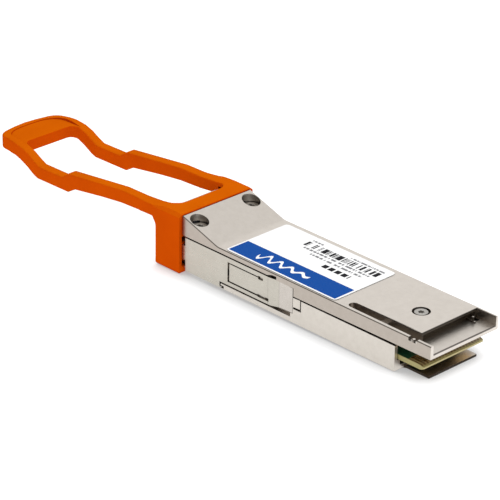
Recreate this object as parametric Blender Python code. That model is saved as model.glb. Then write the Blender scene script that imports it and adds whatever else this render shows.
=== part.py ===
"""Optical transceiver module with two fibre ports, a sliding latch and a pull tab.

All sizes are millimetres and become metres when a mesh is made. X runs across the
module, +Y points from the fibre ports to the card edge, +Z is up. The origin is on
the bottom face, at mid width, below the line where the nose's ramp meets the flat top.
"""
import math

import bmesh
import bpy
from mathutils import Matrix, Vector

MM = 0.001

# ---- Driving dimensions -------------------------------------------------------
BODY_WIDTH = 18.35
BODY_HEIGHT = 8.5
NOSE_TOP = 11.7
NOSE_END = -10.0          # rear plane of the pull tab's collar
PORT_FACE = -16.4
HOOD_END = 56.2
SHELL_END = 47.4          # the lower shell's side walls stop here
HALF = BODY_WIDTH / 2
FLOOR = 0.9
TOP_WALL = 1.3
SEAM = 0.3                # visible joint between the two shells
EDGE_GAP = 0.34           # visible gap round the latch slider's edges
TIGHT = 0.06              # gap where two pieces look as one
SHELL_ROUNDING = 0.22
FIT = 0.1                 # gap between a piece and the pocket that holds it
PAST = 0.3                # how far a cutter runs past the face it opens

SEAM_FRONT = 7.2          # height of the seam beside the latch slider
SEAM_REAR = 5.4           # height of the seam behind it
SEAM_STEP = 20.85
SEAM_NOTCH = (13.9, 16.3)   # wedge cut in the seam for prising the shells apart

SHEET = 0.3               # latch slider's metal
SLIDER_TRAVEL = 2.0
SLIDER_TIP = 20.75
TIP_BOTTOM = 1.95
FLAP_FRONT = 3.42
FLAP_Z = (2.37, 6.02)
FLAP_LEGS = (14.3, 12.7)  # where the flap's lower and upper slots end
ARM_BOTTOM = 1.33
WIDE_END = 0.7
ARM_START = -9.1
POCKET_END = 23.05
RECESS_X = HALF - SHEET - FIT
DEEP_RECESS_X = 8.3
PAD_SLOT_X = 8.6              # floor of the slots below and behind that pad

PORT_PITCH = 6.25
PORT_AXIS_Z = 4.4
PORT_SIZE = 4.8
FERRULE_RADIUS = 0.625

BOARD_WIDTH = 16.42
BOARD_FRONT = 8.0
BOARD_END = 53.8
BOARD_BOTTOM = 2.25
BOARD_TOP = 3.25
BOARD_BEVEL = (0.9, 0.33)
CONTACTS = 19
CONTACT_PITCH = 0.8
CONTACT_WIDTH = 0.54

HOOD_BOTTOM = 5.8
TRAY_FLOOR = 6.7
PLATE_END = 51.4
PLATE_LIP = 8.05          # underside of the lip along the plate's front edge
SLOT = (6.41, 8.41)       # keying slot, across the top
SLOT_START = 34.1
FAR_WALL = 0.53
RAIL_NOTCH = (50.64, 52.75)
TRAY_RIB = ((-6.6, -6.3), (50.9, 53.0))   # low rib on the tray's floor: across, along

LABEL_X = (-7.9, 8.8)
LABEL_Y = (1.95, 31.5)
LABEL_THICK = 0.08
LABEL_CORNER = 0.8

NOSE_SCREW = (7.0, -7.35)
REAR_SCREW = (0.0, 45.3)
SCREW_SHANK = 0.7

COLLAR_X = 9.975
COLLAR_Y = (-16.9, NOSE_END)
COLLAR_Z = (-0.9, 12.0)
COLLAR_CHAMFER = 0.68
COLLAR_INNER_X = 8.3
COLLAR_INNER_Z = (0.3, 10.8)
NOSE_INNER_X = 8.0
NOSE_INNER_Z = (0.6, 10.5)
OPENING_FRONT = -14.0
ARM_INNER_X = 6.75
ARM_UNDERSIDE = 8.75      # where the tab's arms leave the collar
GRIP_FLOOR = 9.9
TAB_ROUNDING = 0.4

SPRING_Y = (-5.65, 3.4)
SPRING_RADIUS = 0.42
SPRING_WIRE = 0.1
SPRING_TURNS = 9
SPRING_X = 8.12
SPRING_Z = 3.9

NICKEL = (0.66, 0.63, 0.58)
ORANGE = (0.72, 0.13, 0.005)


# ---- Mesh helpers -------------------------------------------------------------
def add_object(name, bm):
    """Turn a bmesh in millimetres into an object in metres."""
    bmesh.ops.scale(bm, vec=(MM, MM, MM), verts=bm.verts)
    bmesh.ops.recalc_face_normals(bm, faces=bm.faces)
    mesh = bpy.data.meshes.new(name)
    bm.to_mesh(mesh)
    bm.free()
    obj = bpy.data.objects.new(name, mesh)
    bpy.context.scene.collection.objects.link(obj)
    return obj


def block(name, x, y, z):
    """A box from three (low, high) pairs."""
    bm = bmesh.new()
    bmesh.ops.create_cube(bm, size=1.0)
    size = Vector((x[1] - x[0], y[1] - y[0], z[1] - z[0]))
    centre = Vector((x[0] + x[1], y[0] + y[1], z[0] + z[1])) / 2
    bmesh.ops.scale(bm, vec=size, verts=bm.verts)
    bmesh.ops.translate(bm, vec=centre, verts=bm.verts)
    return add_object(name, bm)


def prism(name, outline, axis, span):
    """Extrude a closed outline along x, y or z over a (low, high) span."""
    place = {
        "x": lambda a, b, c: (c, a, b),
        "y": lambda a, b, c: (a, c, b),
        "z": lambda a, b, c: (a, b, c),
    }[axis]
    bm = bmesh.new()
    face = bm.faces.new([bm.verts.new(place(a, b, span[0])) for a, b in outline])
    grown = bmesh.ops.extrude_face_region(bm, geom=[face])
    moved = [item for item in grown["geom"] if isinstance(item, bmesh.types.BMVert)]
    shift = Vector(place(0.0, 0.0, span[1])) - Vector(place(0.0, 0.0, span[0]))
    bmesh.ops.translate(bm, vec=shift, verts=moved)
    return add_object(name, bm)


def rod(name, centre, radius, span, axis="z", sides=24):
    """A round bar along x, y or z; centre holds its other two coordinates."""
    step = 2 * math.pi / sides
    outline = [
        (centre[0] + radius * math.cos(i * step), centre[1] + radius * math.sin(i * step))
        for i in range(sides)
    ]
    return prism(name, outline, axis, span)


def turned(name, profile, x, z, sides=24):
    """Spin a closed (radius, y) profile about the Y-direction line at x, z."""
    bm = bmesh.new()
    verts = [bm.verts.new((radius, y, 0.0)) for radius, y in profile]
    for first, second in zip(verts, verts[1:] + verts[:1]):
        bm.edges.new((first, second))
    bmesh.ops.spin(
        bm, geom=list(bm.edges), cent=(0, 0, 0), axis=(0, 1, 0), angle=2 * math.pi, steps=sides
    )
    bmesh.ops.remove_doubles(bm, verts=bm.verts, dist=0.0005)
    bmesh.ops.translate(bm, vec=(x, 0, z), verts=bm.verts)
    return add_object(name, bm)


def bake(obj):
    """Replace an object's mesh by its modifiers' result."""
    bpy.context.view_layer.update()
    graph = bpy.context.evaluated_depsgraph_get()
    mesh = bpy.data.meshes.new_from_object(obj.evaluated_get(graph))
    obj.modifiers.clear()
    obj.data = mesh


def combine(target, operation, *tools):
    """Boolean the tools into the target one by one, then remove them."""
    for tool in tools:
        modifier = target.modifiers.new(operation.title(), "BOOLEAN")
        modifier.operation = operation
        modifier.solver = "EXACT"
        modifier.object = tool
    bake(target)
    for tool in tools:
        bpy.data.objects.remove(tool)
    return target


def cut(target, *tools):
    return combine(target, "DIFFERENCE", *tools)


def join(target, *tools):
    return combine(target, "UNION", *tools)


def mirrored(make, *args):
    """Make a shape on the +X side and its copy on the -X side."""
    right = make(*args)
    left = make(*args)
    left.data.transform(Matrix.Scale(-1, 4, (1, 0, 0)))
    left.data.flip_normals()
    return right, left


def arc(centre, radius, start, end, steps):
    """Points on a circle between two angles in degrees, ends included."""
    points = []
    for i in range(steps + 1):
        angle = math.radians(start + (end - start) * i / steps)
        points.append((centre[0] + radius * math.cos(angle), centre[1] + radius * math.sin(angle)))
    return points


def rounded_rectangle(a, b, radius, steps=4):
    """Outline of a rectangle from two (low, high) pairs, with round corners."""
    corners = (
        (a[1] - radius, b[0] + radius, -90),
        (a[1] - radius, b[1] - radius, 0),
        (a[0] + radius, b[1] - radius, 90),
        (a[0] + radius, b[0] + radius, 180),
    )
    outline = []
    for u, v, start in corners:
        outline += arc((u, v), radius, start, start + 90, steps)
    return outline


def merged_faces(obj):
    """The object's mesh with doubled points and flat seams removed."""
    bm = bmesh.new()
    bm.from_mesh(obj.data)
    bmesh.ops.remove_doubles(bm, verts=bm.verts, dist=0.002 * MM)
    bmesh.ops.dissolve_limit(bm, angle_limit=math.radians(1), verts=bm.verts, edges=bm.edges)
    return bm


def bevel_edges(obj, bm, edges, width):
    """Round the edges, split the faces into triangles and store the mesh."""
    bmesh.ops.bevel(bm, geom=edges, offset=width * MM, segments=3, profile=0.5, affect="EDGES")
    bmesh.ops.triangulate(bm, faces=bm.faces)
    bm.to_mesh(obj.data)
    bm.free()


def ease_upper_edges(obj, width, low_z):
    """Round the outer and the long convex edges of faces that look up, above a height."""
    bm = merged_faces(obj)
    bm.normal_update()
    chosen = []
    for edge in bm.edges:
        high = min(vert.co.z for vert in edge.verts) > low_z * MM
        outer = min(abs(vert.co.x) for vert in edge.verts) > (HALF - FIT) * MM
        if high and edge.is_convex and (outer or edge.calc_length() > 1.0 * MM):
            steep = edge.calc_face_angle() > math.radians(35)
            upward = max(face.normal.z for face in edge.link_faces) > 0.9
            if steep and upward:
                chosen.append(edge)
    bevel_edges(obj, bm, chosen, width)


def round_rims(obj, width):
    """Round the convex edges where upright faces meet the faces above or below them."""
    bm = merged_faces(obj)
    bm.normal_update()
    rims = []
    for edge in bm.edges:
        tilts = sorted(abs(face.normal.z) for face in edge.link_faces)
        steep = edge.calc_face_angle() > math.radians(35)
        if edge.is_convex and steep and tilts[0] < 0.5 and tilts[1] > 0.8:
            rims.append(edge)
    bevel_edges(obj, bm, rims, width)


def finish(obj, color, roughness, metallic=0.0, smooth=False):
    """Give the object its own Principled material."""
    material = bpy.data.materials.new(obj.name + "_finish")
    material.use_nodes = True
    shader = material.node_tree.nodes["Principled BSDF"]
    shader.inputs["Base Color"].default_value = (*color, 1.0)
    shader.inputs["Roughness"].default_value = roughness
    shader.inputs["Metallic"].default_value = metallic
    obj.data.materials.clear()
    obj.data.materials.append(material)
    if smooth:
        obj.data.shade_smooth()
        obj.data.set_sharp_from_angle(angle=math.radians(35))
    return obj


# ---- Housing ------------------------------------------------------------------
def ramp_outline():
    """Side outline of the upper shell: nose, ramp with a soft foot, flat top, hood."""
    slope = math.atan2(NOSE_TOP - BODY_HEIGHT, -NOSE_END)
    foot_radius = 4.0
    run = foot_radius * math.tan(slope / 2)
    foot = arc((run, BODY_HEIGHT + foot_radius), foot_radius, -90 - math.degrees(slope), -90, 4)
    nose_rear = NOSE_END + FIT
    seam = SEAM_FRONT + SEAM
    step = SEAM_STEP + FIT
    return [
        (nose_rear, seam),
        (nose_rear, NOSE_TOP),
        *foot,
        (HOOD_END, BODY_HEIGHT),
        (HOOD_END, HOOD_BOTTOM),
        (step, SEAM_REAR + SEAM / 2),
        (step, SEAM_FRONT + TIGHT),
        (SEAM_NOTCH[1], SEAM_FRONT + TIGHT),
        (SEAM_NOTCH[1], seam),
    ]


def upper_shell():
    shell = prism("upper_shell", ramp_outline(), "x", (-HALF, HALF))
    nose = block(
        "nose", (-NOSE_INNER_X, NOSE_INNER_X), (PORT_FACE, NOSE_END + PAST),
        (SEAM_FRONT + SEAM, NOSE_INNER_Z[1]),
    )
    join(shell, nose)
    cut_connector_end(shell)
    cut_upper_cavities(shell)
    add_inner_bosses(shell)
    cut_screw_pockets(shell)
    cut(shell, *mirrored(prism, "pry_notch", pry_notch(), "x", (8.5, HALF + PAST)))
    ease_upper_edges(shell, SHELL_ROUNDING, TRAY_FLOOR - TIGHT)
    add_tray_details(shell)
    return finish(shell, NICKEL, 0.34, 1.0)


def pry_notch():
    """Side outline of the wedge in the seam where a tool can lift the upper shell."""
    front, rear = SEAM_NOTCH
    seam_top = SEAM_FRONT + SEAM
    return [
        (front, SEAM_FRONT - FIT), (rear, SEAM_FRONT - FIT), (rear, seam_top + 0.5),
        (rear - 1.2, seam_top + 0.42), (front, seam_top + 0.04),
    ]


def cut_upper_cavities(shell):
    """Room for the port block at the nose and for the board behind the slider."""
    under_top = BODY_HEIGHT - TOP_WALL
    slot_start = SLOT_START - 1.0
    cut(
        shell,
        block("port_room", (-7.1, 7.1), (PORT_FACE - PAST, -8.7), (SEAM_FRONT - PAST, 10.0)),
        block("board_room", (-8.4, 8.4), (SEAM_STEP - PAST, slot_start), (5.0, under_top)),
        block("left_room", (-8.4, 5.9), (slot_start - PAST, 41.8), (5.0, under_top)),
        block("under_slot", (5.6, 8.4), (slot_start - PAST, 41.8), (5.0, 6.2)),
    )


def cut_connector_end(shell):
    """The keying slot and the tray in front of the raised plate."""
    width = SLOT[1] - SLOT[0]
    middle = sum(SLOT) / 2
    high = BODY_HEIGHT + PAST
    slot_outline = [(SLOT[1], HOOD_END + PAST)]
    slot_outline += [(SLOT[0], HOOD_END + PAST)]
    slot_outline += arc((middle, SLOT_START + width / 2), width / 2, 180, 360, 8)
    cut(
        shell,
        prism("slot", slot_outline, "z", (TRAY_FLOOR, high)),
        block("tray", (-HALF + FAR_WALL, 7.4), (PLATE_END, HOOD_END + PAST), (TRAY_FLOOR, high)),
        prism("tray_edge", tray_edge(), "x", (-8.6, 8.38)),
    )


def tray_edge():
    """Side outline of the cutter that rounds the tray's front edge."""
    radius = 0.3
    low = TRAY_FLOOR - radius
    rounding = arc((HOOD_END - radius, low), radius, 90, 0, 4)
    return rounding + [(HOOD_END + PAST, low), (HOOD_END + PAST, TRAY_FLOOR + PAST),
                       (HOOD_END - radius, TRAY_FLOOR + PAST)]


def add_tray_details(shell):
    """The rail's notch and nub, the gap under the plate's lip, and the tray's rib, post and pit."""
    high = BODY_HEIGHT + PAST
    lip_y = (PLATE_END - 1.2, PLATE_END + PAST)
    rib_x, rib_y = TRAY_RIB
    post_y = (rib_y[1] - 0.75, rib_y[1] - 0.4)
    pit_x = (rib_x[0] - 1.55, rib_x[0] - 0.1)
    pit_y = (rib_y[1] - 1.5, rib_y[1] - 0.35)
    cut(
        shell,
        block("rail_notch", (7.9, HALF + PAST), RAIL_NOTCH, (7.75, high)),
        block("under_lip", (-8.2, 6.1), lip_y, (TRAY_FLOOR, PLATE_LIP)),
        block("pit", pit_x, pit_y, (TRAY_FLOOR - 0.6, TRAY_FLOOR + PAST)),
    )
    join(
        shell,
        rod("rail_nub", (8.8, sum(RAIL_NOTCH) / 2), 0.3, (7.5, 8.3), sides=12),
        block("rib", rib_x, rib_y, (TRAY_FLOOR - PAST, TRAY_FLOOR + 0.3)),
        block("post", rib_x, post_y, (TRAY_FLOOR, TRAY_FLOOR + 1.15)),
    )


def add_inner_bosses(shell):
    """A heat pedestal over the chips, a rib across the board and the rear screw's boss."""
    roof = BODY_HEIGHT - TOP_WALL + PAST
    join(
        shell,
        block("pedestal", (-5.6, 5.6), (14.0, 22.6), (4.95, roof)),
        block("rib", (-8.2, 8.2), (41.5, 43.2), (4.0, roof)),
        rod("screw_boss", REAR_SCREW, 2.2, (3.5, HOOD_BOTTOM + PAST)),
    )


def cut_screw_pockets(shell):
    x, y = NOSE_SCREW
    low = SEAM_FRONT - PAST
    cut(
        shell,
        rod("pocket_right", (x, y), 1.9, (8.0, NOSE_TOP)),
        rod("pocket_left", (-x, y), 1.9, (8.0, NOSE_TOP)),
        rod("hole_right", (x, y), 0.85, (low, 8.0 + PAST), sides=16),
        rod("hole_left", (-x, y), 0.85, (low, 8.0 + PAST), sides=16),
        rod("pocket_rear", REAR_SCREW, 1.8, (7.15, BODY_HEIGHT + PAST)),
        rod("hole_rear", REAR_SCREW, 0.85, (3.2, 7.15 + PAST), sides=16),
    )


def lower_shell():
    shell = block("lower_shell", (-HALF, HALF), (NOSE_END + FIT, SHELL_END), (0, SEAM_FRONT))
    wide = (-HALF - PAST, HALF + PAST)
    cut(
        shell,
        block("rear_top", wide, (SEAM_STEP, SHELL_END + PAST), (SEAM_REAR - SEAM / 2, SEAM_FRONT + PAST)),
    )
    join(
        shell,
        block("nose", (-NOSE_INNER_X, NOSE_INNER_X), (PORT_FACE, NOSE_END + PAST),
              (NOSE_INNER_Z[0], SEAM_FRONT)),
        prism("tongue", tongue_outline(), "z", (0, 0.5)),
    )
    cut(shell, block("bridge_bed", wide, (NOSE_END - PAST, -2.8), (-PAST, 0.4)))
    cut_slider_tracks(shell)
    cut_lower_cavities(shell)
    join(
        shell,
        block("rib", (-7.8, 7.8), (41.8, 43.2), (FLOOR - PAST, 1.7)),
        rod("screw_boss", REAR_SCREW, 1.6, (FLOOR - PAST, 2.1)),
    )
    cut(
        shell,
        rod("hole_right", NOSE_SCREW, 0.8, (1.3, SEAM_FRONT + PAST), sides=16),
        rod("hole_left", (-NOSE_SCREW[0], NOSE_SCREW[1]), 0.8, (1.3, SEAM_FRONT + PAST), sides=16),
        rod("hole_rear", REAR_SCREW, 0.8, (0.5, 2.1 + PAST), sides=16),
        *mirrored(prism, "latch_pocket", latch_pocket(), "z", (3.2, SEAM_REAR + PAST)),
    )
    cut_pad_slots(shell)
    return finish(shell, NICKEL, 0.34, 1.0)


def latch_pocket():
    """Plan outline of the shallow pad behind an arm's tip: it slopes down to the rear."""
    out = HALF + PAST
    end = POCKET_END - 0.1
    return [(out, SEAM_STEP), (out, end), (HALF - 0.12, end), (HALF - 0.02, SEAM_STEP)]


def cut_pad_slots(shell):
    """Narrow slots below and behind the pad at each arm's tip."""
    out = HALF + PAST
    rear = (POCKET_END - 0.35, POCKET_END)
    low = (SEAM_STEP + 0.1, POCKET_END - 0.2)
    for piece in (
        ("pad_slot_rear", (PAD_SLOT_X, out), rear, (2.9, SEAM_REAR + PAST)),
        ("pad_slot_low", (PAD_SLOT_X + 0.05, out), low, (2.93, 3.32)),
    ):
        cut(shell, *mirrored(block, *piece))


def tongue_outline():
    """Thin plate below the card edge, with a round corner where it leaves the walls."""
    right = [(6.5, 53.7)]
    right += arc((7.3, 48.2), 0.8, 180, 270, 3)
    right += [(7.3, SHELL_END - PAST)]
    return right + [(-x, y) for x, y in reversed(right)]


def cut_slider_tracks(shell):
    """Side recesses for the slider's arms, and the spring grooves below them."""
    high = SEAM_FRONT + PAST
    out = HALF + PAST
    for piece in (
        ("groove", (7.45, out), (SPRING_Y[0] - 0.15, SPRING_Y[1] + 0.6), (3.2, 4.6)),
        ("wide_track", (RECESS_X, out), (NOSE_END - PAST, WIDE_END + EDGE_GAP), (-PAST, high)),
        ("bend_relief", (8.1, out), (WIDE_END, WIDE_END + 1.2), (0.1, 0.62)),
        ("wide_end_slot", (8.5, out), (WIDE_END + 0.02, WIDE_END + EDGE_GAP - 0.02), (0.3, ARM_BOTTOM)),
        ("upper_collar_notch", (7.9, out), (NOSE_END - PAST, ARM_START), (5.5, 7.0)),
        ("lower_collar_notch", (7.9, out), (NOSE_END - PAST, ARM_START), (0.8, 2.2)),
        ("arm_track", (RECESS_X, out), (0.0, 20.2), (ARM_BOTTOM - EDGE_GAP, high)),
        ("tip_seat", (RECESS_X, out), (20.0, SEAM_STEP), (TIP_BOTTOM - TIGHT, high)),
        ("tip_track", (DEEP_RECESS_X, out), (13.0, 20.0), (ARM_BOTTOM - EDGE_GAP, high)),
    ):
        cut(shell, *mirrored(block, *piece))


def cut_lower_cavities(shell):
    high = SEAM_FRONT + PAST
    cut(
        shell,
        block("port_room", (-7.1, 7.1), (PORT_FACE - PAST, -8.7), (1.1, high)),
        block("between_pillars", (-5.5, 5.5), (-9.0, -5.5), (FLOOR, high)),
        block("optics_room", (-7.1, 7.1), (-6.0, 4.5), (FLOOR, high)),
        block("front_board_room", (-7.6, 7.6), (4.2, 24.0), (FLOOR, high)),
        block("rear_board_room", (-8.4, 8.4), (23.9, SHELL_END + PAST), (2.1, high)),
        block("under_board", (-7.6, 7.6), (23.7, SHELL_END + PAST), (FLOOR, 2.4)),
    )


def socket_screw(name, x, y, head_z, head_radius, tip_z):
    """Round-head screw with a six-lobed socket, head up."""
    screw = rod(name, (x, y), head_radius, head_z)
    join(screw, rod("shank", (x, y), SCREW_SHANK, (tip_z, head_z[0] + PAST), sides=16))
    socket = []
    for i in range(24):
        angle = math.radians(15 * i)
        radius = head_radius * (0.42 + 0.08 * math.cos(6 * angle))
        socket.append((x + radius * math.cos(angle), y + radius * math.sin(angle)))
    cut(screw, prism("socket", socket, "z", (head_z[1] - 0.55, head_z[1] + PAST)))
    return finish(screw, (0.45, 0.44, 0.42), 0.35, 1.0, smooth=True)


def screws():
    x, y = NOSE_SCREW
    socket_screw("nose_screw_right", x, y, (8.1, 9.7), 1.6, 1.6)
    socket_screw("nose_screw_left", -x, y, (8.1, 9.7), 1.6, 1.6)
    socket_screw("rear_screw", *REAR_SCREW, (7.25, 8.4), 1.35, 0.8)


def product_label():
    outline = rounded_rectangle(LABEL_X, LABEL_Y, LABEL_CORNER)
    low = BODY_HEIGHT + 0.02
    label = prism("product_label", outline, "z", (low, low + LABEL_THICK))
    return finish(label, (0.85, 0.86, 0.87), 0.45)


# ---- Fibre ports and optics ---------------------------------------------------
def lc_port_block():
    """Plastic insert with two plug openings, a latch slot over each, and barrel holes."""
    piece = block("lc_port_block", (-7.0, 7.0), (PORT_FACE + 0.2, -9.1), (1.2, 9.9))
    half = PORT_SIZE / 2
    for side in (-1, 1):
        x = side * PORT_PITCH / 2
        cut(
            piece,
            block("plug", (x - half, x + half), (PORT_FACE - PAST, -9.9),
                  (PORT_AXIS_Z - half, PORT_AXIS_Z + half)),
            block("latch_slot", (x - 1.6, x + 1.6), (PORT_FACE - PAST, -11.0), (6.0, 8.6)),
            rod("barrel_hole", (x, PORT_AXIS_Z), 1.6, (-10.2, -8.6), axis="y"),
        )
    return finish(piece, (0.03, 0.03, 0.035), 0.45)


def optical_barrel(name, x):
    """Turned receptacle that carries the ferrule, with a locating flange."""
    profile = [
        (0.95, -12.6), (1.35, -12.6), (1.45, -12.45), (1.45, -8.4), (2.0, -8.4), (2.0, -7.6),
        (2.25, -7.6), (2.25, -7.0), (1.9, -7.0), (1.9, -4.7), (0.5, -4.7), (0.5, -6.6), (0.95, -6.6),
    ]
    barrel = turned(name, profile, x, PORT_AXIS_Z)
    return finish(barrel, (0.72, 0.70, 0.66), 0.25, 1.0, smooth=True)


def ferrule_sleeve(name, x):
    """Ceramic alignment sleeve inside the barrel."""
    inner = FERRULE_RADIUS + 0.005
    profile = [(inner, -12.3), (0.86, -12.3), (0.86, -6.8), (inner, -6.8)]
    sleeve = turned(name, profile, x, PORT_AXIS_Z, sides=20)
    return finish(sleeve, (0.88, 0.87, 0.82), 0.2, smooth=True)


def optical_housing(name, x, width):
    """Sealed metal package behind a barrel, with a stepped front."""
    low = x - width / 2
    high = x + width / 2
    housing = block(name, (low, high), (-3.4, 5.2), (1.8, 6.8))
    join(housing, rod("neck", (x, PORT_AXIS_Z), 2.3, (-4.6, -3.2), axis="y"))
    return finish(housing, (0.75, 0.60, 0.33), 0.3, 1.0)


def flex_circuit(name, x, width):
    """Thin flexible circuit that steps down from a package to the board."""
    top = [(5.3, 4.6), (6.3, 4.6), (7.7, 3.52), (12.0, 3.52)]
    thick = 0.14
    outline = top + [(y, z - thick) for y, z in reversed(top)]
    flex = prism(name, outline, "x", (x - width / 2, x + width / 2))
    return finish(flex, (0.55, 0.27, 0.05), 0.4)


def optics_clamp():
    """Saddle that holds both barrels down between the screw pillars."""
    y = (-6.7, -5.0)
    clamp = block("optics_clamp", (-5.4, 5.4), y, (6.6, 7.0))
    join(
        clamp,
        block("leg_right", (5.1, 5.4), y, (1.2, 6.8)),
        block("leg_left", (-5.4, -5.1), y, (1.2, 6.8)),
    )
    return finish(clamp, (0.5, 0.5, 0.5), 0.3, 1.0)


def optics():
    left = -PORT_PITCH / 2
    right = PORT_PITCH / 2
    lc_port_block()
    for name, x in (("transmitter", left), ("receiver", right)):
        optical_barrel(name + "_barrel", x)
        ferrule_sleeve(name + "_ferrule_sleeve", x)
        optical_housing(name + "_optics_package", x, 5.8)
        flex_circuit(name + "_flex_circuit", x, 4.4)
    optics_clamp()


# ---- Circuit board ------------------------------------------------------------
def main_board():
    """Card with a narrow front part, chamfered card edge and a screw hole."""
    half = BOARD_WIDTH / 2
    corner = 0.2
    right = [(7.4, BOARD_FRONT), (7.4, 24.1), (half, 25.0), (half, BOARD_END - corner)]
    right += [(half - corner, BOARD_END)]
    outline = right + [(-x, y) for x, y in reversed(right)]
    board = prism("main_board", outline, "z", (BOARD_BOTTOM, BOARD_TOP))
    wide = (-half - PAST, half + PAST)
    start = BOARD_END - BOARD_BEVEL[0]
    depth = BOARD_BEVEL[1]
    past = BOARD_END + PAST
    reach = depth * (past - start) / BOARD_BEVEL[0]
    cut(
        board,
        prism("top_bevel", [(start, BOARD_TOP), (past, BOARD_TOP - reach), (past, BOARD_TOP + PAST)],
              "x", wide),
        prism("low_bevel", [(start, BOARD_BOTTOM), (past, BOARD_BOTTOM + reach),
                            (past, BOARD_BOTTOM - PAST)], "x", wide),
    )
    cut(board, rod("screw_hole", REAR_SCREW, 1.2, (BOARD_BOTTOM - PAST, BOARD_TOP + PAST)))
    return finish(board, (0.02, 0.16, 0.05), 0.4)


def edge_contacts(name, z):
    """Row of gold card-edge contacts joined by their plating bar."""
    half = CONTACTS * CONTACT_PITCH / 2
    row = block(name, (-half, half), (50.0, 50.3), z)
    pads = []
    for i in range(CONTACTS):
        x = (i - (CONTACTS - 1) / 2) * CONTACT_PITCH
        end = 52.8 if i % 3 else 52.2
        pads.append(
            block("pad", (x - CONTACT_WIDTH / 2, x + CONTACT_WIDTH / 2), (50.1, end), z)
        )
    join(row, *pads)
    return finish(row, (0.9, 0.62, 0.2), 0.25, 1.0)


def chip(name, x, y, z, color=(0.02, 0.02, 0.022), roughness=0.5, metallic=0.0):
    """Moulded or metal component with bevelled upper edges."""
    piece = block(name, x, y, z)
    modifier = piece.modifiers.new("Edge", "BEVEL")
    modifier.width = 0.08 * MM
    modifier.segments = 1
    return finish(piece, color, roughness, metallic)


def board_components():
    on_top = BOARD_TOP + 0.05
    below = BOARD_BOTTOM - 0.05
    chip("laser_driver_chip", (-5.4, -0.4), (15.2, 21.2), (on_top, 4.25))
    chip("receiver_chip", (0.6, 5.2), (15.2, 20.2), (on_top, 4.25))
    chip("microcontroller", (-3.2, 2.8), (31.0, 37.0), (on_top, 4.2))
    chip("voltage_regulator", (4.4, 7.4), (26.0, 29.0), (on_top, 4.1))
    chip("power_inductor", (-7.2, -3.6), (25.4, 29.0), (on_top, 5.1), (0.09, 0.09, 0.1), 0.6)
    chip("reference_crystal", (4.6, 7.2), (33.2, 35.2), (on_top, 3.95), (0.6, 0.6, 0.58), 0.3, 1.0)
    chip("bulk_capacitor_left", (-6.8, -5.4), (32.0, 35.0), (on_top, 4.4), (0.42, 0.26, 0.1), 0.5)
    chip("bulk_capacitor_right", (1.0, 3.2), (26.4, 27.8), (on_top, 4.4), (0.42, 0.26, 0.1), 0.5)
    chip("bottom_memory_chip", (-2.6, 2.4), (28.0, 33.0), (1.35, below))
    chip("coupling_capacitor_row", (-5.8, 5.8), (48.3, 49.0), (on_top, 3.75), (0.45, 0.3, 0.14), 0.5)


def thermal_and_sealing():
    """Soft pads between the chips and the pedestal, and foam strips across the board."""
    grey = (0.45, 0.5, 0.55)
    foam = (0.16, 0.16, 0.17)
    finish(block("driver_thermal_pad", (-5.2, -0.6), (15.4, 21.0), (4.35, 4.85)), grey, 0.8)
    finish(block("receiver_thermal_pad", (0.8, 5.0), (15.4, 20.0), (4.35, 4.85)), grey, 0.8)
    finish(block("upper_foam_gasket", (-8.0, 8.0), (41.8, 43.0), (3.32, 3.92)), foam, 0.9)
    finish(block("lower_foam_gasket", (-7.4, 7.4), (41.9, 43.1), (1.76, 2.18)), foam, 0.9)


# ---- Latch slider and pull tab ------------------------------------------------
def arm_plan():
    """Plan outline of one sheet arm: straight, dipping in, then flaring out at its tip."""
    outer = [(HALF, -13.0), (HALF, 14.4), (HALF - 0.35, 16.8), (HALF - 0.05, 20.2)]
    outer += [(HALF - 0.02, SLIDER_TIP)]
    return outer + [(x - SHEET, y) for x, y in reversed(outer)]


def arm_side():
    """Side outline of an arm: collar shoulder, full-height part and tapered tip."""
    top = SEAM_FRONT - 0.02
    return [
        (ARM_START, 0.0), (WIDE_END, 0.0), (WIDE_END, ARM_BOTTOM), (15.0, ARM_BOTTOM), (20.0, TIP_BOTTOM),
        (SLIDER_TIP + PAST, TIP_BOTTOM), (SLIDER_TIP + PAST, top), (ARM_START, top),
        (ARM_START, 5.4), (-13.0 - PAST, 5.4), (-13.0 - PAST, 2.3), (ARM_START, 2.3),
    ]


def flap_slot():
    """C-shaped slot that frees an arm's flap; each of its legs ends in a wider hole."""
    low, high = FLAP_Z
    low_end, high_end = FLAP_LEGS
    front = FLAP_FRONT - 0.5
    lower_hole = low_end - 3.0
    upper_hole = high_end - 1.35
    return [
        (front, low - 0.34), (lower_hole, low - 0.34), (lower_hole, low - 0.44),
        (low_end, low - 0.44), (low_end, low + 0.2), (lower_hole, low + 0.2), (lower_hole, low),
        (FLAP_FRONT, low), (FLAP_FRONT, high), (upper_hole, high), (upper_hole, high - 0.3),
        (high_end, high - 0.3), (high_end, high + 0.42), (upper_hole, high + 0.42),
        (upper_hole, high + 0.24), (front, high + 0.24),
    ]


def slider_arm():
    """One arm with its flap, whose free end is folded in as the spring's seat."""
    arm = prism("arm", arm_plan(), "z", (-PAST, SEAM_FRONT + PAST))
    combine(arm, "INTERSECT", prism("arm_side", arm_side(), "x", (8.0, HALF + PAST)))
    cut(arm, prism("flap_slot", flap_slot(), "x", (8.0, HALF + PAST)))
    seat_y = (FLAP_FRONT + 0.08, FLAP_FRONT + 0.08 + SHEET)
    return join(arm, block("spring_seat", (7.6, HALF - SHEET / 2), seat_y, (3.3, 4.5)))


def latch_slider():
    """One sheet-metal part: two side arms joined by a bridge under the nose."""
    slider = block("latch_slider", (-HALF + 0.05, HALF - 0.05), (-8.6, -3.2), (0.0, SHEET))
    join(slider, *mirrored(slider_arm))
    return finish(slider, NICKEL, 0.32, 1.0)


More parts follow.
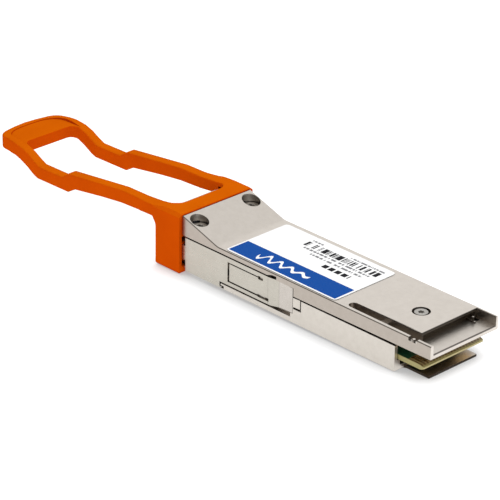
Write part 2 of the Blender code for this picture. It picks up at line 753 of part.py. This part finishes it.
def tab_top_line():
    """Upper edge of the pull tab seen from the side, collar first."""
    return [
        (COLLAR_Y[1], COLLAR_Z[1]), (-14.6, COLLAR_Z[1]), (-18.0, 11.5), (-22.0, 11.2),
        (-28.0, 11.1), (-34.0, 10.35), (-40.0, 9.65), (-44.2, 9.15), (-46.4, 7.7), (-53.6, 7.55),
        (-55.2, 8.25), (-57.2, 9.3), (-59.2, 9.95), (-62.1, 10.35), (-64.0, 10.35), (-69.5, 9.85),
    ]


def tab_bottom_line():
    """Lower edge of the pull tab, head first."""
    return [
        (-69.5, 6.85), (-64.0, 7.35), (-61.6, 7.35), (-59.8, 7.0), (-57.6, 6.15), (-55.4, 5.0),
        (-54.2, 4.6), (-44.6, 4.8), (-42.4, 6.1), (-34.0, 7.4), (-28.0, 8.15), (-22.0, 8.45),
    ]


def tab_side():
    """Side outline: collar leg, soft inner corner, arms and raised head."""
    corner = arc((-18.5, 7.25), 1.6, 90, 0, 5)
    leg = [(COLLAR_Y[0], COLLAR_Z[0]), (COLLAR_Y[1], COLLAR_Z[0])]
    return tab_top_line() + tab_bottom_line() + corner + leg


def tab_plan():
    """Plan outline: collar width, slimmer arms and the rounded head."""
    right = [(COLLAR_X, COLLAR_Y[1]), (COLLAR_X, -17.2), (9.65, -19.5), (9.25, -23.0), (9.12, -54.0)]
    right += [(8.95, -60.0), (8.72, -62.6)]
    right += arc((4.95, -65.1), 3.25, -8, -75, 6)
    right += [(3.0, -68.85), (0.0, -69.15)]
    return right + [(-x, y) for x, y in reversed(right[:-1])]


def tab_front():
    """Front outline: the collar's upper edges are chamfered."""
    low, high = COLLAR_Z
    right = [(COLLAR_X, low), (COLLAR_X, high - COLLAR_CHAMFER), (COLLAR_X - COLLAR_CHAMFER, high)]
    return right + [(-x, z) for x, z in reversed(right)]


def tab_opening():
    """Plan outline of the long opening between the arms."""
    front = arc((ARM_INNER_X - 2.2, OPENING_FRONT - 2.2), 2.2, 90, 0, 5)
    rear = arc((ARM_INNER_X - 1.6, -59.4), 1.6, 0, -90, 4)
    right = front + rear
    return right + [(-x, y) for x, y in reversed(right)]


def grip_outline():
    """Plan outline of the shallow grip recess: its end is a superellipse inside the rim."""
    half_width = 7.2
    length = 5.5
    centre_y = -61.9
    power = 2 / 3
    outline = [(half_width, -58.4), (-half_width, -58.4)]
    for i in range(19):
        angle = math.radians(180 + 10 * i)
        x = math.copysign(abs(math.cos(angle)) ** power, math.cos(angle))
        y = abs(math.sin(angle)) ** power
        outline.append((half_width * x, centre_y - length * y))
    return outline


def pull_tab():
    """Moulded collar round the nose with two arms and a finger grip."""
    tab = prism("pull_tab", tab_side(), "x", (-COLLAR_X - PAST, COLLAR_X + PAST))
    combine(
        tab, "INTERSECT", prism("plan", tab_plan(), "z", (-2.0, 14.0)),
        prism("front", tab_front(), "y", (-70.0, COLLAR_Y[1] + PAST)),
    )
    cut(tab, prism("opening", tab_opening(), "z", (3.0, 14.0)))
    round_rims(tab, TAB_ROUNDING)
    inner_x = (-COLLAR_INNER_X, COLLAR_INNER_X)
    low, high = COLLAR_INNER_Z
    pocket_x = (HALF - SHEET - 0.05, HALF + 0.05)
    notch_x = (COLLAR_INNER_X - FIT, HALF + 0.1)
    notch_y = (-11.6, NOSE_END + PAST)
    cut(
        tab,
        block("nose_room", inner_x, (COLLAR_Y[0] - PAST, COLLAR_Y[1] + PAST), (low, ARM_UNDERSIDE)),
        block("upper_room", inner_x, (PORT_FACE - 0.2, COLLAR_Y[1] + PAST),
              (ARM_UNDERSIDE - PAST, high)),
        *mirrored(block, "sheet_pocket", pocket_x, (-13.1, NOSE_END + PAST), (2.24, 5.46)),
        *mirrored(block, "upper_notch", notch_x, notch_y, (5.7, 7.1)),
        *mirrored(block, "lower_notch", notch_x, notch_y, (0.7, 2.0)),
        prism("grip_recess", grip_outline(), "z", (GRIP_FLOOR, 11.0)),
    )
    return finish(tab, ORANGE, 0.42, smooth=True)


def return_spring(name, side):
    """Coil spring along Y that pushes the slider back towards the card edge."""
    per_turn = 10
    ring = 6
    low, high = SPRING_Y
    count = SPRING_TURNS * per_turn
    length = high - low - 2 * SPRING_WIRE
    bm = bmesh.new()
    rings = []
    for i in range(count + 1):
        turn = 2 * math.pi * i / per_turn
        out = Vector((math.cos(turn), 0.0, math.sin(turn)))
        centre = Vector((side * SPRING_X, low + SPRING_WIRE + length * i / count, SPRING_Z))
        centre += out * SPRING_RADIUS
        rings.append([
            bm.verts.new(centre + SPRING_WIRE * (
                out * math.cos(2 * math.pi * j / ring) + Vector((0, 1, 0)) * math.sin(2 * math.pi * j / ring)
            ))
            for j in range(ring)
        ])
    for first, second in zip(rings, rings[1:]):
        for j in range(ring):
            k = (j + 1) % ring
            bm.faces.new((first[j], first[k], second[k], second[j]))
    bm.faces.new(rings[0])
    bm.faces.new(rings[-1])
    return finish(add_object(name, bm), (0.55, 0.55, 0.55), 0.3, 1.0, smooth=True)


# ---- Assembly -----------------------------------------------------------------
def build():
    for obj in list(bpy.data.objects):
        bpy.data.objects.remove(obj)
    upper_shell()
    lower_shell()
    screws()
    product_label()
    optics()
    main_board()
    edge_contacts("edge_contacts_top", (BOARD_TOP + 0.02, BOARD_TOP + 0.08))
    edge_contacts("edge_contacts_bottom", (BOARD_BOTTOM - 0.08, BOARD_BOTTOM - 0.02))
    board_components()
    thermal_and_sealing()
    latch_slider()
    pull_tab()
    return_spring("slider_spring_right", 1)
    return_spring("slider_spring_left", -1)


build()
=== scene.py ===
"""Looks of the optical transceiver module: materials, edge rounding, label print, camera, light."""
import math

import bpy
from mathutils import Matrix, Vector


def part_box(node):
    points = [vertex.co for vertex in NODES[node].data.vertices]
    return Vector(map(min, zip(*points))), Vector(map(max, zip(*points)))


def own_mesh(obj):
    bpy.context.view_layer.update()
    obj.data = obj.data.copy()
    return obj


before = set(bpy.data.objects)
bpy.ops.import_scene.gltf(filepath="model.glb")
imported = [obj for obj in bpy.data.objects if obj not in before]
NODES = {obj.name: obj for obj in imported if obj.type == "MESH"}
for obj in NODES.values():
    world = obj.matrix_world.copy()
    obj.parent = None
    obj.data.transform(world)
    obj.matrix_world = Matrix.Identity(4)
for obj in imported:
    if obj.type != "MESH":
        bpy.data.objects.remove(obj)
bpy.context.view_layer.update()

MM = 0.001

# ---- Camera, floor and light --------------------------------------------------
CAMERA_AZIMUTH = 135.617
CAMERA_ELEVATION = 26.008
CAMERA_ROLL = 0.871
CAMERA_DISTANCE = 542.0 * MM
CAMERA_TARGET = Vector((0.0, 25.0, 4.0)) * MM
CAMERA_OFFSET = Vector((-17.579, 8.804)) * MM
CAMERA_LENS = 204.8
SENSOR_WIDTH = 36.0
FLOOR_SIZE = 3.0
FLOOR_DROP = 0.03 * MM
FLOOR_GLOW = 0.82            # of the open floor, as the camera sees it
SHADOW_GLOW = 0.37           # of the floor close under the module: painted shadow
REFLECTED_GLOW = 0.79        # of the floor in the metal
WORLD_BRIGHT = 1.0
WORLD_DARK = 0.1
KEY_PLACE = (-150.0, 60.0, 420.0)
KEY_SIZE = (420.0, 420.0)
KEY_POWER = 0.9

# ---- Colours, painted light and shade, and the places where a finish or painted shade changes (mm along the module) ---
# Orange: top and side colours are painted light and painted shade on one plastic; ORANGE_SHADE is painted
# shade in crevices, ORANGE_RIM painted shade on faces turned away
ORANGE_TOP = (0.64, 0.118, 0.001)
ORANGE_SIDE = (0.63, 0.079, 0.001)
ORANGE_SHADE = (0.42, 0.025, 0.0)
ORANGE_RIM = (0.20, 0.045, 0.003)
ORANGE_CLOUD = (0.93, 0.88, 1.0)
NICKEL_LIGHT = (0.715, 0.665, 0.61)
NICKEL_DARK = (0.675, 0.625, 0.57)
# Near black, painted as shade into rounded edges, narrow joints and gaps, and the tongue's upright faces
PAINTED_SHADE = (0.035, 0.025, 0.018)
EDGE_DARKNESS = 0.74         # how much of the painted dark reflection a rounded edge takes
UPPER_JOINT = (0.06, 0.42)   # openness at which a joint is all painted shade, and free of it
LOWER_JOINT = (0.18, 0.54)
# Painted shade multiplied into the castings' upright sides
UPPER_SIDE_TINT = (0.65, 0.625, 0.60)
LOWER_SIDE_TINT = (0.90, 0.905, 0.895)
SHEET_TINT = (0.75, 0.765, 0.735)
# Painted shade multiplied into wide openings
SHELTERED = (0.42, 0.37, 0.32)
# Painted shade multiplied into the upper shell's end wall in the mouth
MOUTH_WALL = (0.24, 0.23, 0.21)
MOUTH_Y = (46.0, 54.0)       # where painted shade darkens the upper shell's end wall
TONGUE_START = 47.6          # where the painted shade on the tongue's upright faces starts
SHEET_BENDS = (14.07, 16.8)  # faint painted shade lines across the slider's arms, at the bends
SHEET_BEND_WIDTH = 0.26
# Painted shade on the sheet's bends, and painted light on its arms' tips beyond the second bend
BEND_SHADE = (0.88, 0.88, 0.88)
TIP_TINT = (1.07, 1.05, 1.09)
MASK_END = 49.8              # where the board's solder mask stops
SOLDER_MASK = (0.008, 0.06, 0.025)
BARE_LAMINATE = (0.30, 0.23, 0.10)
CUT_LAMINATE = ((0.27, 0.235, 0.085), (0.42, 0.37, 0.145))
CARD_END = (0.48, 0.41, 0.19)
CONTACT_TAIL = (0.15, 0.09, 0.03)
CONTACT_PITCH = 0.8
LABEL_BLUE = (0.005, 0.071, 0.335)
LABEL_WHITE = (0.93, 0.935, 0.94)
INK = (0.015, 0.015, 0.018)
INK_GREY = (0.22, 0.22, 0.23)
LABEL_BORDER = 0.4
BAND_WIDTH = 5.32


# ---- Node helpers -------------------------------------------------------------
class Shader:
    """Nodes of a material or world: add() makes one, sets its inputs and returns it."""

    def __init__(self, owner):
        owner.use_nodes = True
        self.owner = owner
        self.tree = owner.node_tree
        self.place = self.add("ShaderNodeTexCoord").outputs["Object"]

    def add(self, kind, inputs=None, **settings):
        node = self.tree.nodes.new(kind)
        for key, value in settings.items():
            setattr(node, key, value)
        for key, value in (inputs or {}).items():
            self.plug(node.inputs[key], value)
        return node

    def plug(self, socket, value):
        if isinstance(value, bpy.types.NodeSocket):
            self.tree.links.new(value, socket)
        elif socket.type == "RGBA" and len(value) == 3:
            socket.default_value = (*value, 1.0)
        else:
            socket.default_value = value

    def set(self, **inputs):
        surface = self.tree.nodes["Principled BSDF"]
        for key, value in inputs.items():
            self.plug(surface.inputs[key.replace("_", " ")], value)

    def math(self, operation, first, second=0.0, third=0.0, clamp=False):
        node = self.add("ShaderNodeMath", {0: first, 1: second, 2: third}, operation=operation)
        node.use_clamp = clamp
        return node.outputs[0]

    def mix(self, factor, first, second):
        node = self.add("ShaderNodeMix", data_type="RGBA")
        self.plug(node.inputs["Factor"], factor)
        self.plug(node.inputs[6], first)
        self.plug(node.inputs[7], second)
        return node.outputs[2]

    def tint(self, color, factors):
        """The colour with each channel multiplied by its factor."""
        node = self.add("ShaderNodeMix", data_type="RGBA", blend_type="MULTIPLY")
        self.plug(node.inputs["Factor"], 1.0)
        self.plug(node.inputs[6], color)
        self.plug(node.inputs[7], factors)
        return node.outputs[2]

    def between(self, value, low, high):
        above = self.math("GREATER_THAN", value, low)
        return self.math("MULTIPLY", above, self.math("LESS_THAN", value, high))

    def noise(self, scale_mm, detail=3.0, stretch=(1.0, 1.0, 1.0), roughness=0.55):
        """Fractal noise whose features are about scale_mm wide."""
        scaled = self.add("ShaderNodeMapping", {"Vector": self.place, "Scale": stretch})
        inputs = {
            "Vector": scaled.outputs[0], "Scale": 1.0 / (scale_mm * MM), "Detail": detail,
            "Roughness": roughness,
        }
        return self.add("ShaderNodeTexNoise", inputs).outputs["Fac"]

    def span(self, value, low, high, start=0.0, end=1.0):
        """Map value from low..high to start..end."""
        inputs = {"Value": value, "From Min": low, "From Max": high, "To Min": start, "To Max": end}
        return self.add("ShaderNodeMapRange", inputs).outputs[0]

    def bump(self, height, depth_mm, strength=1.0):
        inputs = {"Height": height, "Distance": depth_mm * MM, "Strength": strength}
        return self.add("ShaderNodeBump", inputs).outputs[0]

    def xyz(self):
        """Object coordinates in millimetres."""
        parts = self.add("ShaderNodeSeparateXYZ", {0: self.place})
        return [self.math("MULTIPLY", parts.outputs[i], 1.0 / MM) for i in range(3)]

    def crevice(self, reach_mm):
        """1 on open surfaces, towards 0 in grooves narrower than reach_mm."""
        inputs = {"Distance": reach_mm * MM}
        return self.add("ShaderNodeAmbientOcclusion", inputs, samples=8).outputs["AO"]

    def facing(self):
        """Sizes of the surface normal's three parts."""
        normal = self.add("ShaderNodeNewGeometry").outputs["Normal"]
        parts = self.add("ShaderNodeSeparateXYZ", {0: normal})
        return [self.math("ABSOLUTE", parts.outputs[i]) for i in range(3)]

    def rounded_edge(self):
        """1 on the rounding between a face that looks up and an upright one, 0 on both faces."""
        up = self.facing()[2]
        return self.math("MULTIPLY", self.span(up, 0.93, 0.84), self.span(up, 0.03, 0.12))


# ---- Materials ----------------------------------------------------------------
def plated(s, side_tint):
    """Mottled nickel, with painted shade on the upright sides and a painted dark reflection on the
    rounded edges.
    """
    mottling = s.noise(1.3, 5.0, roughness=0.6)
    across = s.facing()[0]
    base = s.mix(s.span(mottling, 0.35, 0.65), NICKEL_DARK, NICKEL_LIGHT)
    # painted shade on the upright sides
    base = s.mix(s.span(across, 0.5, 0.9), base, s.tint(base, side_tint))
    # painted dark reflection on the rounded edges
    return s.mix(s.math("MULTIPLY", s.rounded_edge(), EDGE_DARKNESS), base, PAINTED_SHADE)


def shelter(s):
    """Mask for painted shade: 1 deep inside wide openings, weaker on their upright walls."""
    up = s.facing()[2]
    return s.math("MULTIPLY", s.span(s.crevice(3.0), 0.66, 0.26), s.span(up, 0.3, 0.7, 0.3, 1.0))


def cast_surface(s, base, sheltered, joint):
    """Paint shade into the openings and the joints, add the fine grain, and return the material."""
    grain = s.noise(0.14, 3.0, roughness=0.7)
    # painted shade in the openings
    base = s.mix(sheltered, base, s.tint(base, SHELTERED))
    # painted shade in the narrow joints
    base = s.mix(s.span(s.crevice(0.9), *joint), PAINTED_SHADE, base)
    s.set(
        Base_Color=base, Metallic=1.0, Roughness=s.span(grain, 0.3, 0.7, 0.27, 0.40),
        Normal=s.bump(grain, 0.010, 0.6),
    )
    return s.owner


def upper_casting():
    """Plated casting with painted shade on the end wall in the mouth over the card edge."""
    s = Shader(bpy.data.materials.new("upper_casting"))
    base = plated(s, UPPER_SIDE_TINT)
    # painted shade on the end wall in the mouth
    mouth = s.math("MULTIPLY", s.span(s.facing()[1], 0.5, 0.9), s.between(s.xyz()[1], *MOUTH_Y))
    base = s.mix(mouth, base, s.tint(base, MOUTH_WALL))
    return cast_surface(s, base, shelter(s), UPPER_JOINT)


def lower_casting():
    """Plated casting with painted shade on the upright faces of the tongue."""
    s = Shader(bpy.data.materials.new("lower_casting"))
    up = s.facing()[2]
    tongue = s.math("GREATER_THAN", s.xyz()[1], TONGUE_START)
    # painted shade on the tongue's upright faces
    base = s.mix(s.math("MULTIPLY", tongue, s.span(up, 0.7, 0.5)), plated(s, LOWER_SIDE_TINT), PAINTED_SHADE)
    sheltered = s.math("MULTIPLY", shelter(s), s.span(up, 0.5, 0.9))
    return cast_surface(s, base, sheltered, LOWER_JOINT)


def stamped_sheet():
    """Plated spring sheet with faint rolling lines along the module, painted shade lines at the bends,
    painted light on the arms' tips and painted shade in its gaps.
    """
    s = Shader(bpy.data.materials.new("stamped_sheet"))
    lines = s.noise(0.25, 3.0, stretch=(1.0, 0.05, 1.0))
    mottling = s.noise(2.0, 4.0)
    base = s.mix(s.span(mottling, 0.35, 0.65), NICKEL_DARK, NICKEL_LIGHT)
    base = s.tint(base, SHEET_TINT)
    y = s.xyz()[1]
    half = SHEET_BEND_WIDTH / 2
    # painted shade lines at the bends
    for bend in SHEET_BENDS:
        base = s.mix(s.between(y, bend - half, bend + half), base, s.tint(base, BEND_SHADE))
    # painted light on the arms' tips
    base = s.mix(s.math("GREATER_THAN", y, SHEET_BENDS[1]), base, s.tint(base, TIP_TINT))
    # painted shade in the gaps
    base = s.mix(s.span(s.crevice(0.8), 0.2, 0.6), PAINTED_SHADE, base)
    s.set(
        Base_Color=base, Metallic=1.0, Roughness=s.span(lines, 0.3, 0.7, 0.24, 0.36),
        Normal=s.bump(lines, 0.006, 0.5),
    )
    return s.owner


def moulded_orange():
    """Satin moulded plastic with fine spark texture and colour variation; painted light on the top faces,
    painted shade on the sides, in crevices and on the rims turned away.
    """
    s = Shader(bpy.data.materials.new("moulded_orange"))
    texture = s.noise(0.12, 2.0)
    cloud = s.noise(6.0, 3.0)
    turned_away = s.add("ShaderNodeLayerWeight", {"Blend": 0.5}).outputs["Facing"]
    # painted light on the top faces, painted shade on the sides
    base = s.mix(s.span(s.facing()[2], 0.5, 0.9), ORANGE_SIDE, ORANGE_TOP)
    base = s.mix(s.span(cloud, 0.3, 0.7), s.tint(base, ORANGE_CLOUD), base)
    # painted shade in crevices
    base = s.mix(s.span(s.crevice(1.2), 0.45, 0.80), ORANGE_SHADE, base)
    # painted shade on the rims turned away
    s.set(
        Base_Color=s.mix(s.span(turned_away, 0.70, 0.95, 0.0, 0.8), base, ORANGE_RIM),
        Roughness=s.span(texture, 0.3, 0.7, 0.42, 0.55), Specular_IOR_Level=0.0,
        Normal=s.bump(texture, 0.012, 0.5),
    )
    return s.owner


def satin(name, color, roughness, metallic=0.0, grain_mm=0.15, depth=0.006):
    """A finished surface with fine grain and a little colour variation."""
    s = Shader(bpy.data.materials.new(name))
    grain = s.noise(grain_mm, 3.0)
    cloud = s.noise(grain_mm * 14, 3.0)
    darker = tuple(0.8 * channel for channel in color)
    s.set(
        Base_Color=s.mix(s.span(cloud, 0.3, 0.7), darker, color), Metallic=metallic,
        Roughness=s.span(grain, 0.3, 0.7, roughness * 0.85, roughness * 1.15),
        Normal=s.bump(grain, depth, 0.5),
    )
    return s.owner


def printed_label():
    """White film with a blue band, a plain light-wave mark, bar rows and rows of short dashes."""
    s = Shader(bpy.data.materials.new("printed_label"))
    low, high = (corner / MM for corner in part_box("product_label"))
    x, y, _ = s.xyz()
    band = (high.x - LABEL_BORDER - BAND_WIDTH, high.x - LABEL_BORDER)
    along = s.between(y, low.y + 0.35, high.y - 0.45)
    color = s.mix(s.math("MULTIPLY", s.between(x, *band), along), LABEL_WHITE, LABEL_BLUE)
    color = s.mix(wave_mark(s, x, y, sum(band) / 2, low.y + 6.2), color, LABEL_WHITE)

    # Rows across the film's far half: x range, y range from the film's end, mark width, share inked, ink.
    rows = (
        ((-5.6, -3.7), (8.6, 28.0), 0.16, 0.52, INK),
        ((-6.6, -6.1), (8.8, 11.6), 0.22, 0.62, INK_GREY),
        ((-6.5, -6.0), (19.0, 28.3), 0.20, 0.66, INK_GREY),
        ((-3.3, -2.7), (9.6, 27.0), 0.24, 0.66, INK_GREY),
        ((-2.1, -1.5), (12.5, 26.2), 0.24, 0.66, INK_GREY),
        ((-0.6, 0.7), (17.8, 24.8), 0.42, 0.66, INK),
    )
    for across, run, mark, share, ink in rows:
        color = s.mix(ink_row(s, x, y, across, (low.y + run[0], low.y + run[1]), mark, share), color, ink)
    s.set(
        Base_Color=color, Roughness=0.42, Specular_IOR_Level=0.02,
        Normal=s.bump(s.noise(0.5, 2.0), 0.004, 0.3),
    )
    return s.owner


def wave_mark(s, x, y, middle, start):
    """Mask of a decaying light pulse drawn along the band's middle."""
    travel = s.math("SUBTRACT", y, start)
    swing = s.span(travel, 0.0, 13.5, 1.25, 0.35)
    wave = s.math("MULTIPLY", s.math("SINE", s.math("MULTIPLY", travel, 2.1)), swing)
    offset = s.math("ABSOLUTE", s.math("SUBTRACT", s.math("SUBTRACT", x, middle), wave))
    line = s.math("LESS_THAN", offset, 0.42)
    return s.math("MULTIPLY", line, s.between(travel, 0.0, 13.5))


def ink_row(s, x, y, across, run, mark, share):
    """Mask of a row of marks along Y, of which a share is inked by hashed chance."""
    cell = s.math("FLOOR", s.math("MULTIPLY", y, 1.0 / mark))
    chance = s.add("ShaderNodeTexWhiteNoise", {"W": cell}, noise_dimensions="1D").outputs["Value"]
    inked = s.math("LESS_THAN", chance, share)
    return s.math("MULTIPLY", inked, s.math("MULTIPLY", s.between(x, *across), s.between(y, *run)))


def laminate():
    """Green solder mask on the faces, glass laminate on the cut edges, tails behind the contacts."""
    s = Shader(bpy.data.materials.new("laminate"))
    x, y, _ = s.xyz()
    _, along, up = s.facing()
    flat = s.math("GREATER_THAN", up, 0.97)
    masked = s.math("MULTIPLY", flat, s.math("LESS_THAN", y, MASK_END))
    bare = s.math("MULTIPLY", flat, s.math("GREATER_THAN", y, MASK_END))
    pitch_place = s.math("FRACT", s.math("MULTIPLY_ADD", x, 1.0 / CONTACT_PITCH, 100.5))
    tail = s.math("LESS_THAN", s.math("ABSOLUTE", s.math("SUBTRACT", pitch_place, 0.5)), 0.3)
    fibre = s.noise(0.2, 3.0, stretch=(1.0, 0.2, 3.0))
    edge = s.mix(s.span(fibre, 0.3, 0.7), *CUT_LAMINATE)
    edge = s.mix(s.span(along, 0.5, 0.9), edge, CARD_END)
    edge = s.mix(bare, edge, BARE_LAMINATE)
    edge = s.mix(s.math("MULTIPLY", bare, tail), edge, CONTACT_TAIL)
    s.set(
        Base_Color=s.mix(masked, edge, SOLDER_MASK), Roughness=0.4,
        Normal=s.bump(fibre, 0.01, 0.4),
    )
    return s.owner


# ---- Pieces -------------------------------------------------------------------
ROUNDING = {
    "upper_shell": 0.04, "lower_shell": 0.10, "latch_slider": 0.05, "pull_tab": 0.06,
    "product_label": 0.0, "lc_port_block": 0.12, "edge_contacts_top": 0.0,
    "edge_contacts_bottom": 0.0, "slider_spring_right": 0.0, "slider_spring_left": 0.0,
    "main_board": 0.03,
}


def round_edges(obj, width_mm):
    """Merge the exported faces again, round the sharp edges and weight the normals for smooth shading."""
    weld = obj.modifiers.new("Weld", "WELD")
    weld.merge_threshold = 0.001 * MM
    flatten = obj.modifiers.new("Flatten", "DECIMATE")
    flatten.decimate_type = "DISSOLVE"
    flatten.angle_limit = math.radians(0.5)
    if width_mm:
        bevel = obj.modifiers.new("Round", "BEVEL")
        bevel.width = width_mm * MM
        bevel.segments = 3
        bevel.limit_method = "ANGLE"
        bevel.angle_limit = math.radians(32)
        bevel.use_clamp_overlap = True
    normals = obj.modifiers.new("Normals", "WEIGHTED_NORMAL")
    normals.keep_sharp = True


def dress(finishes):
    for name, obj in NODES.items():
        if "custom_normal" in obj.data.attributes:
            obj.data.attributes.remove(obj.data.attributes["custom_normal"])
        round_edges(obj, ROUNDING.get(name, 0.06))
        obj.data.materials.clear()
        obj.data.materials.append(finishes[name])
        obj.data.shade_smooth()


def finishes():
    sheet = stamped_sheet()
    black = satin("moulded_epoxy", (0.02, 0.02, 0.022), 0.5)
    ceramic_capacitor = satin("capacitor_ceramic", (0.42, 0.26, 0.10), 0.45)
    by_name = {
        "upper_shell": upper_casting(), "lower_shell": lower_casting(),
        "latch_slider": sheet, "optics_clamp": sheet,
        "pull_tab": moulded_orange(), "product_label": printed_label(),
        "main_board": laminate(), "lc_port_block": satin("port_plastic", (0.03, 0.03, 0.034), 0.42),
        "power_inductor": satin("ferrite", (0.09, 0.09, 0.10), 0.6),
        "reference_crystal": satin("crystal_can", (0.6, 0.6, 0.58), 0.3, 1.0),
        "coupling_capacitor_row": ceramic_capacitor,
    }
    groups = {
        "screw": satin("screw_steel", (0.50, 0.48, 0.45), 0.32, 1.0),
        "barrel": satin("turned_steel", (0.70, 0.67, 0.63), 0.25, 1.0),
        "ferrule": satin("zirconia", (0.86, 0.85, 0.80), 0.22),
        "package": satin("gold_package", (0.80, 0.58, 0.27), 0.3, 1.0),
        "flex": satin("polyimide", (0.45, 0.19, 0.03), 0.35),
        "contacts": satin("contact_gold", (0.85, 0.56, 0.18), 0.25, 1.0),
        "thermal": satin("thermal_pad", (0.42, 0.46, 0.52), 0.85),
        "gasket": satin("gasket_foam", (0.15, 0.15, 0.16), 0.95),
        "spring": satin("spring_wire", (0.6, 0.6, 0.6), 0.3, 1.0),
        "bulk": ceramic_capacitor,
    }
    for name in NODES:
        if name not in by_name:
            match = [finish for key, finish in groups.items() if key in name]
            by_name[name] = match[0] if match else black
    return by_name


# ---- Stage --------------------------------------------------------------------
def camera():
    azimuth = math.radians(CAMERA_AZIMUTH)
    elevation = math.radians(CAMERA_ELEVATION)
    roll = math.radians(CAMERA_ROLL)
    back = Vector((
        math.sin(azimuth) * math.cos(elevation), -math.cos(azimuth) * math.cos(elevation),
        math.sin(elevation),
    ))
    right = Vector((0, 0, 1)).cross(back).normalized()
    up = back.cross(right)
    right, up = (
        right * math.cos(roll) + up * math.sin(roll), up * math.cos(roll) - right * math.sin(roll)
    )
    place = CAMERA_TARGET + back * CAMERA_DISTANCE + right * CAMERA_OFFSET.x + up * CAMERA_OFFSET.y
    data = bpy.data.cameras.new("camera")
    data.lens = CAMERA_LENS
    data.sensor_width = SENSOR_WIDTH
    data.clip_start = 0.01
    data.clip_end = 20.0
    obj = bpy.data.objects.new("camera", data)
    obj.matrix_world = Matrix((right, up, back)).transposed().to_4x4()
    obj.location = place
    bpy.context.scene.collection.objects.link(obj)
    bpy.context.scene.camera = obj


def floor():
    """Pale floor that the collar's bottom edge and the lower shell's rear end rest on, with painted
    shadow in its glow near the module.
    """
    collar_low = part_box("pull_tab")[0]
    collar_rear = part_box("pull_tab")[1].y
    shell_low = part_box("lower_shell")[0].z
    shell_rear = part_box("lower_shell")[1].y
    slope = (shell_low - collar_low.z) / (shell_rear - collar_rear)
    size = FLOOR_SIZE

    def height(y):
        return collar_low.z + slope * (y - collar_rear) - FLOOR_DROP

    mesh = bpy.data.meshes.new("floor")
    corners = [(x, y, height(y)) for x, y in ((-size, -size), (size, -size), (size, size), (-size, size))]
    mesh.from_pydata(corners, [], [(0, 1, 2, 3)])
    obj = bpy.data.objects.new("floor", mesh)
    bpy.context.scene.collection.objects.link(obj)
    s = Shader(bpy.data.materials.new("floor"))
    seen = s.add("ShaderNodeLightPath").outputs["Is Camera Ray"]
    # painted shadow: the floor's glow drops where the module is near
    shade = s.span(s.crevice(6.0), 0.40, 0.85, SHADOW_GLOW, FLOOR_GLOW)
    glow = s.add("ShaderNodeMix", {"Factor": seen, "A": REFLECTED_GLOW, "B": shade}).outputs["Result"]
    s.set(
        Base_Color=(0.36, 0.36, 0.365), Roughness=0.6, Specular_IOR_Level=0.05,
        Emission_Color=(1, 1, 1), Emission_Strength=glow,
    )
    mesh.materials.append(s.owner)


def softbox(name, place_mm, size_mm, power):
    data = bpy.data.lights.new(name, "AREA")
    data.shape = "RECTANGLE"
    data.size = size_mm[0] * MM
    data.size_y = size_mm[1] * MM
    data.energy = power
    obj = bpy.data.objects.new(name, data)
    place = Vector(place_mm) * MM
    obj.location = place
    obj.rotation_euler = (CAMERA_TARGET - place).to_track_quat("-Z", "Y").to_euler()
    obj.visible_glossy = False
    bpy.context.scene.collection.objects.link(obj)


def studio_world():
    """Bright tent with a dark gap high on each side of the camera, which draws the metal's edges."""
    s = Shader(bpy.data.worlds.new("studio"))
    azimuth = math.radians(CAMERA_AZIMUTH)
    sideways = (math.cos(azimuth), math.sin(azimuth), 0.0)
    direction = s.add("ShaderNodeTexCoord").outputs["Generated"]
    height = s.add("ShaderNodeSeparateXYZ", {0: direction}).outputs[2]
    aside = s.add("ShaderNodeVectorMath", {0: direction, 1: sideways}, operation="DOT_PRODUCT")
    beside = s.span(s.math("ABSOLUTE", aside.outputs["Value"]), 0.50, 0.70)
    level = s.math("MULTIPLY", s.span(height, 0.85, 0.70), s.span(height, 0.42, 0.52))
    gap = s.math("MULTIPLY", beside, level)
    bright = s.span(height, 0.52, 0.70, WORLD_BRIGHT, 0.87 * WORLD_BRIGHT)
    lit = s.math("MULTIPLY", bright, s.math("SUBTRACT", 1.0, gap))
    strength = s.math("ADD", lit, s.math("MULTIPLY", gap, WORLD_DARK))
    seen = s.add("ShaderNodeLightPath").outputs["Is Camera Ray"]
    shown = s.add("ShaderNodeMix", {"Factor": seen, "A": strength, "B": WORLD_BRIGHT}).outputs["Result"]
    background = s.tree.nodes["Background"].inputs
    s.plug(background["Strength"], shown)
    s.plug(background["Color"], (1.0, 0.995, 0.985))
    bpy.context.scene.world = s.owner


def light():
    studio_world()
    softbox("key", KEY_PLACE, KEY_SIZE, KEY_POWER)
    bpy.context.scene.view_settings.view_transform = "Standard"


def compress_springs():
    """Give both coil springs a mesh of their own."""
    for name in ("slider_spring_right", "slider_spring_left"):
        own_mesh(NODES[name])


dress(finishes())
compress_springs()
camera()
floor()
light()
